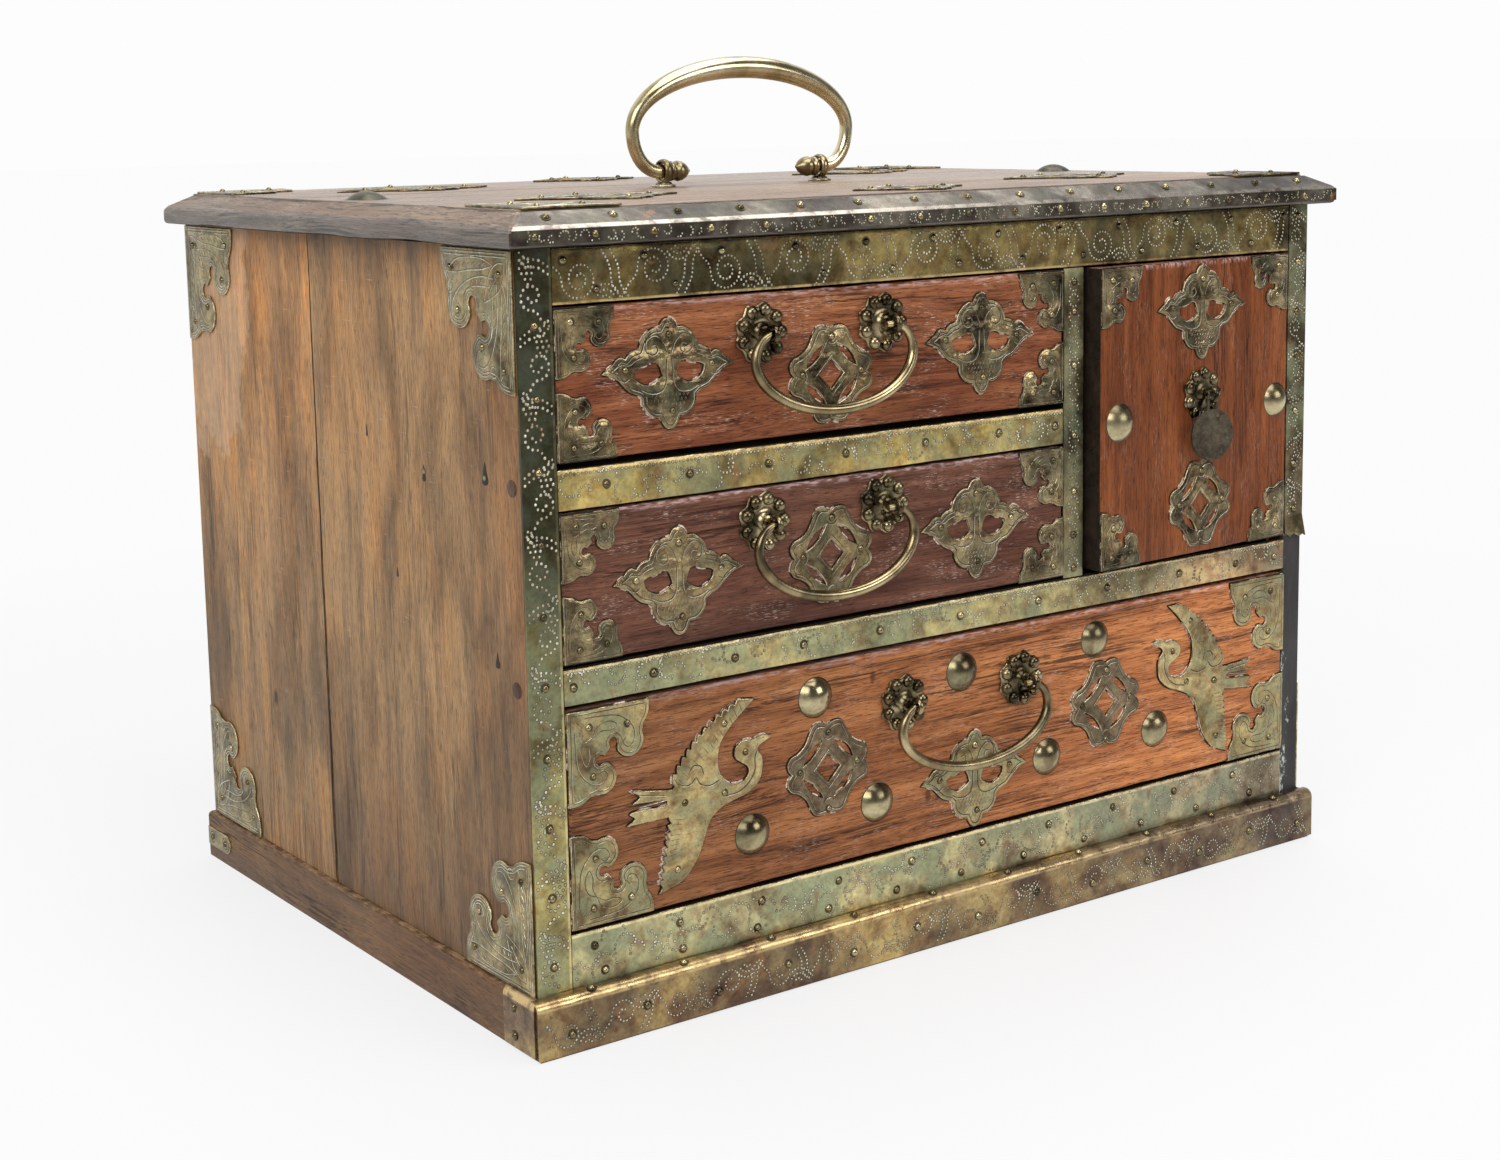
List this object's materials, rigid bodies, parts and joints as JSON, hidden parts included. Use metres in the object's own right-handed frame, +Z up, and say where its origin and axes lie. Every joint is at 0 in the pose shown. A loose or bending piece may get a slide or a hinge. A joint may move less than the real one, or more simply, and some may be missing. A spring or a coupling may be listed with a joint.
{
  "type": "jewelry chest",
  "caption": "Brass-bound hardwood jewelry chest with wide and narrow drawers, a small pivoting door, pierced plates, bail pulls and a carry handle on the lid.",
  "frame": {"origin": "on the underside of the plinth, below the middle of the case", "axes": "+X to the right along the front, +Y from the front to the back, +Z up"},
  "size_m": [0.4142, 0.3061, 0.3551],
  "materials": {
    "front_wood": "semi-gloss lacquer, worn",
    "side_wood": "satin, scuffed",
    "inner_wood": "bare",
    "edge_wood": "dark lacquer",
    "aged_brass": "tarnished sheet with punched dots",
    "plate_brass": "tarnished, engraved, bright cut edges",
    "bright_brass": "polished by use"
  },
  "bodies": {
    "case": {"base_board": "edge_wood", "base_front_strip": "aged_brass", "bottom_board": "edge_wood", "bottom_rail_strip": "aged_brass", "back_panel": "side_wood", "left_side_front_board": "side_wood", "left_side_back_board": "side_wood", "right_side_board": "side_wood", "lower_shelf": "edge_wood", "upper_shelf": "edge_wood", "top_rail": "edge_wood", "divider": "edge_wood", "top_rail_strip": "aged_brass", "left_stile_strip": "aged_brass", "right_stile_strip": "aged_brass", "upper_rail_strip": "aged_brass", "lower_rail_strip": "aged_brass", "divider_strip": "aged_brass", "lid_board": "edge_wood", "lid_front_strip": "aged_brass", "left_bottom_front_corner": "plate_brass", "left_bottom_back_corner": "plate_brass", "left_top_front_corner": "plate_brass", "left_top_back_corner": "plate_brass", "right_bottom_front_corner": "plate_brass", "right_bottom_back_corner": "plate_brass", "right_top_front_corner": "plate_brass", "right_top_back_corner": "plate_brass", "handle_post_left": "bright_brass", "handle_post_right": "bright_brass"},
    "handle": {"carry_handle": "bright_brass"},
    "drawer_1": {"drawer_1_front": "front_wood", "drawer_1_left_side": "inner_wood", "drawer_1_right_side": "inner_wood", "drawer_1_back": "inner_wood", "drawer_1_bottom": "inner_wood", "drawer_1_left_rosette": "plate_brass", "drawer_1_right_rosette": "plate_brass"},
    "drawer_1_pull": {"drawer_1_bail": "bright_brass"},
    "drawer_2": {"drawer_2_front": "front_wood", "drawer_2_left_side": "inner_wood", "drawer_2_right_side": "inner_wood", "drawer_2_back": "inner_wood", "drawer_2_bottom": "inner_wood", "drawer_2_left_rosette": "plate_brass", "drawer_2_right_rosette": "plate_brass"},
    "drawer_2_pull": {"drawer_2_bail": "bright_brass"},
    "drawer_3": {"drawer_3_front": "front_wood", "drawer_3_left_side": "inner_wood", "drawer_3_right_side": "inner_wood", "drawer_3_back": "inner_wood", "drawer_3_bottom": "inner_wood", "drawer_3_left_rosette": "plate_brass", "drawer_3_right_rosette": "plate_brass", "left_crane": "plate_brass", "right_crane": "plate_brass"},
    "drawer_3_pull": {"drawer_3_bail": "bright_brass"},
    "door": {"door_panel": "front_wood", "door_rosette": "plate_brass"},
    "door_pull": {"disc_pendant": "plate_brass"}
  },
  "joints": [
    {"name": "drawer_1_slide", "type": "slide", "parent": "case", "child": "drawer_1", "axis": [0, -1, 0], "range_m": [0, 0.2]},
    {"name": "drawer_1_bail_hinge", "type": "hinge", "parent": "drawer_1", "child": "drawer_1_pull", "pos_m": [-0.07, -0.1518, 0.2515], "axis": [-1, 0, 0], "range_deg": [-6, 115]},
    {"name": "drawer_2_slide", "type": "slide", "parent": "case", "child": "drawer_2", "axis": [0, -1, 0], "range_m": [0, 0.2]},
    {"name": "drawer_2_bail_hinge", "type": "hinge", "parent": "drawer_2", "child": "drawer_2_pull", "pos_m": [-0.07, -0.1518, 0.1815], "axis": [-1, 0, 0], "range_deg": [-6, 115]},
    {"name": "drawer_3_slide", "type": "slide", "parent": "case", "child": "drawer_3", "axis": [0, -1, 0], "range_m": [0, 0.2]},
    {"name": "drawer_3_bail_hinge", "type": "hinge", "parent": "drawer_3", "child": "drawer_3_pull", "pos_m": [-0.0015, -0.1518, 0.1015], "axis": [-1, 0, 0], "range_deg": [-6, 115]},
    {"name": "door_hinge", "type": "hinge", "parent": "case", "child": "door", "pos_m": [0.1806, -0.14, 0.141], "axis": [0, 0, 1], "range_deg": [-3.2, 95]},
    {"name": "disc_hinge", "type": "hinge", "parent": "door", "child": "door_pull", "pos_m": [0.13014, -0.15294, 0.2095], "axis": [-0.9984, -0.0558, 0], "range_deg": [-8, 100]},
    {"name": "carry_handle_hinge", "type": "hinge", "parent": "case", "child": "handle", "pos_m": [0, 0.002, 0.3066], "axis": [1, 0, 0], "range_deg": [-80, 80]}
  ]
}
